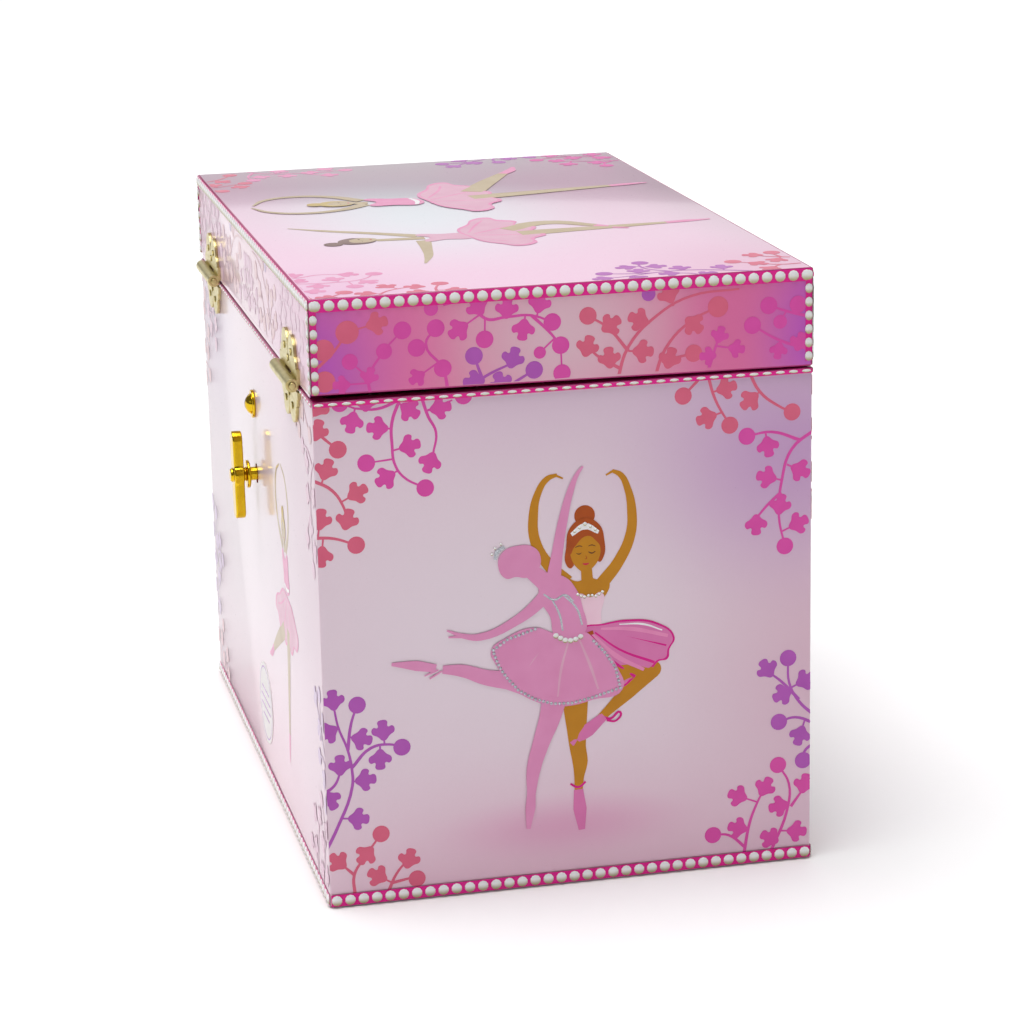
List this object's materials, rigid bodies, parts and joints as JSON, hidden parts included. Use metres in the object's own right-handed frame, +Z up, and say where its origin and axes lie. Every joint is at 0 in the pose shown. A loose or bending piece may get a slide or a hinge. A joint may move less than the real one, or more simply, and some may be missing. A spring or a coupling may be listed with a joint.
{
  "type": "musical jewellery box",
  "caption": "Paper-covered jewellery box with a hinged mirror lid, lined well, ring rolls, drawers and a wind-up movement that turns a folding dancer.",
  "frame": {"origin": "on the floor under the middle of the box's outline", "axes": "+X along the width, +Y towards the hinges and the winding key, +Z up; the drawers face -Y"},
  "size_m": [0.19, 0.136, 0.148],
  "materials": {
    "board": "raw greyboard and fibreboard",
    "printed_paper": "printed, with a thin gloss varnish",
    "base_felt": "short flock",
    "lining": "pink flock on card",
    "drawer_lining": "pink flock on card",
    "ring_pad": "pink satin over foam",
    "label_paper": "coated paper",
    "hinge_brass": "satin brass plating",
    "polished_brass": "polished brass plating",
    "movement_brass": "turned and stamped brass",
    "cast_zinc": "die-cast zinc alloy",
    "steel": "ground spring steel",
    "mirror_glass": "silvered glass",
    "mirror_edging": "gold foil on plastic edging",
    "figure_plastic": "moulded and hand-painted plastic",
    "tulle": "pleated tulle"
  },
  "bodies": {
    "case": {"base_sheet": "base_felt", "base_board": "board", "left_board": "board", "right_board": "board", "back_board": "board", "front_board": "board", "drawer_shelf": "board", "tray_floor": "board", "body_wrap": "printed_paper", "wall_lining": "lining", "floor_lining": "lining", "stage_skirt": "lining", "stage_top": "lining", "spindle_bush": "polished_brass", "ring_shelf": "lining", "ring_rolls": "ring_pad", "well_divider": "lining", "back_label": "label_paper", "hinge_leaves_lower": "hinge_brass", "hinge_pins": "hinge_brass", "hinge_nails_lower": "hinge_brass", "fixing_screw": "polished_brass", "screw_washer": "polished_brass", "bedplate": "cast_zinc", "spring_case": "movement_brass", "mainspring": "steel", "comb": "steel", "movement_screws": "steel", "gear_plate": "cast_zinc"},
    "lid": {"lid_top_board": "board", "lid_front_board": "board", "lid_back_board": "board", "lid_left_board": "board", "lid_right_board": "board", "lid_wrap": "printed_paper", "lid_lining": "lining", "lid_mirror": "mirror_glass", "mirror_frame": "mirror_edging", "hinge_leaves_upper": "hinge_brass", "hinge_nails_upper": "hinge_brass"},
    "upper_drawer": {"upper_drawer_front": "printed_paper", "upper_drawer_box": "drawer_lining", "upper_drawer_knob": "polished_brass"},
    "lower_drawer": {"lower_drawer_front": "printed_paper", "lower_drawer_box": "drawer_lining", "lower_drawer_knob": "polished_brass"},
    "key": {"winding_key": "polished_brass"},
    "drive_wheel": {"main_wheel": "movement_brass"},
    "cylinder": {"pin_cylinder": "movement_brass", "cylinder_arbor": "movement_brass"},
    "idler": {"idler_wheel": "movement_brass"},
    "governor": {"governor_wheel": "movement_brass"},
    "fly": {"worm_fly": "steel"},
    "turntable": {"spindle": "movement_brass", "figure_spring": "steel"},
    "figure": {"dancer": "figure_plastic", "tutu": "tulle"},
    "stop": {"stop_rod": "steel"}
  },
  "joints": [
    {"name": "lid_hinge", "type": "hinge", "parent": "case", "child": "lid", "pos_m": [0, 0.0619, 0.12475], "axis": [-1, 0, 0], "range_deg": [0, 100]},
    {"name": "upper_drawer_slide", "type": "slide", "parent": "case", "child": "upper_drawer", "axis": [0, -1, 0], "range_m": [0, 0.085]},
    {"name": "lower_drawer_slide", "type": "slide", "parent": "case", "child": "lower_drawer", "axis": [0, -1, 0], "range_m": [0, 0.085]},
    {"name": "key_turn", "type": "hinge", "parent": "case", "child": "key", "pos_m": [0, 0.06, 0.084], "axis": [0, 1, 0], "continuous": true},
    {"name": "cylinder_turn", "type": "hinge", "parent": "case", "child": "cylinder", "pos_m": [0, 0.03398, 0.09], "axis": [0, 0, 1], "continuous": true},
    {"name": "main_wheel_turn", "type": "hinge", "parent": "case", "child": "drive_wheel", "pos_m": [0, 0.0421, 0.084], "axis": [0, 1, 0], "continuous": true},
    {"name": "idler_turn", "type": "hinge", "parent": "case", "child": "idler", "pos_m": [0, 0.01699, 0.105], "axis": [0, 0, 1], "continuous": true},
    {"name": "governor_turn", "type": "hinge", "parent": "case", "child": "governor", "pos_m": [0.01189, 0.03398, 0.095], "axis": [0, 0, 1], "continuous": true},
    {"name": "fly_turn", "type": "hinge", "parent": "case", "child": "fly", "pos_m": [0.01794, 0.03398, 0.09075], "axis": [0, 1, 0], "continuous": true},
    {"name": "turntable_turn", "type": "hinge", "parent": "case", "child": "turntable", "pos_m": [0, 0, 0.11], "axis": [0, 0, 1], "continuous": true},
    {"name": "figure_fold", "type": "hinge", "parent": "turntable", "child": "figure", "pos_m": [0, 0, 0.1245], "axis": [-1, 0, 0], "range_deg": [0, 85]},
    {"name": "stop_rod_slide", "type": "slide", "parent": "case", "child": "stop", "axis": [0, 0, 1], "range_m": [0, 0.0025]}
  ],
  "couplings": [
    {"joint": "main_wheel_turn", "follows": "cylinder_turn", "ratio": 0.63333},
    {"joint": "idler_turn", "follows": "cylinder_turn", "ratio": -0.81818},
    {"joint": "turntable_turn", "follows": "cylinder_turn", "ratio": 1},
    {"joint": "governor_turn", "follows": "cylinder_turn", "ratio": -1.8},
    {"joint": "fly_turn", "follows": "cylinder_turn", "ratio": -28.8},
    {"joint": "figure_fold", "follows": "lid_hinge", "ratio": 0.85},
    {"joint": "stop_rod_slide", "follows": "lid_hinge", "m_per_rad": 0.0014323}
  ]
}
